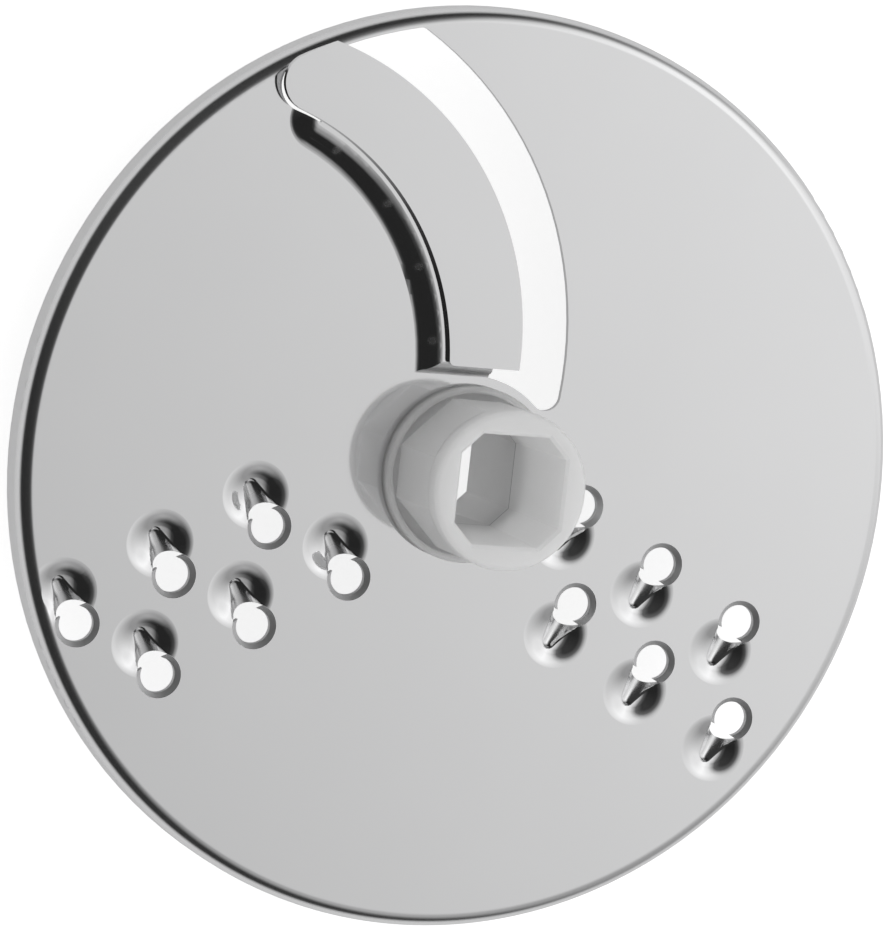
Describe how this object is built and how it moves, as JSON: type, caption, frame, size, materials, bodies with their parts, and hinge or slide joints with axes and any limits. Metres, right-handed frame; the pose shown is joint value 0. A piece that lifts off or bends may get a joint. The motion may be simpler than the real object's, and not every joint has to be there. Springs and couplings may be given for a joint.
{
  "type": "slicing and shredding disc",
  "caption": "Flat round steel disc with a turned-down rim, a curved raised slicing blade beside a slot, rows of formed shredding teeth and a moulded drive hub through its centre.",
  "frame": {"origin": "centre of the hub's lower end face, on which the disc stands", "axes": "+Z along the hub's axis towards the blade's side, +Y through the middle of the blade side of the plate, between the two groups of teeth on the other side, +X to the right of it seen from above"},
  "size_m": [0.11, 0.11, 0.031],
  "materials": {
    "polished_steel": "polished",
    "blade_steel": "polished",
    "hub_plastic": "translucent, frosted"
  },
  "bodies": {
    "root": {"disc": "polished_steel", "slicing_blade": "blade_steel", "hub": "hub_plastic"}
  },
  "joints": []
}
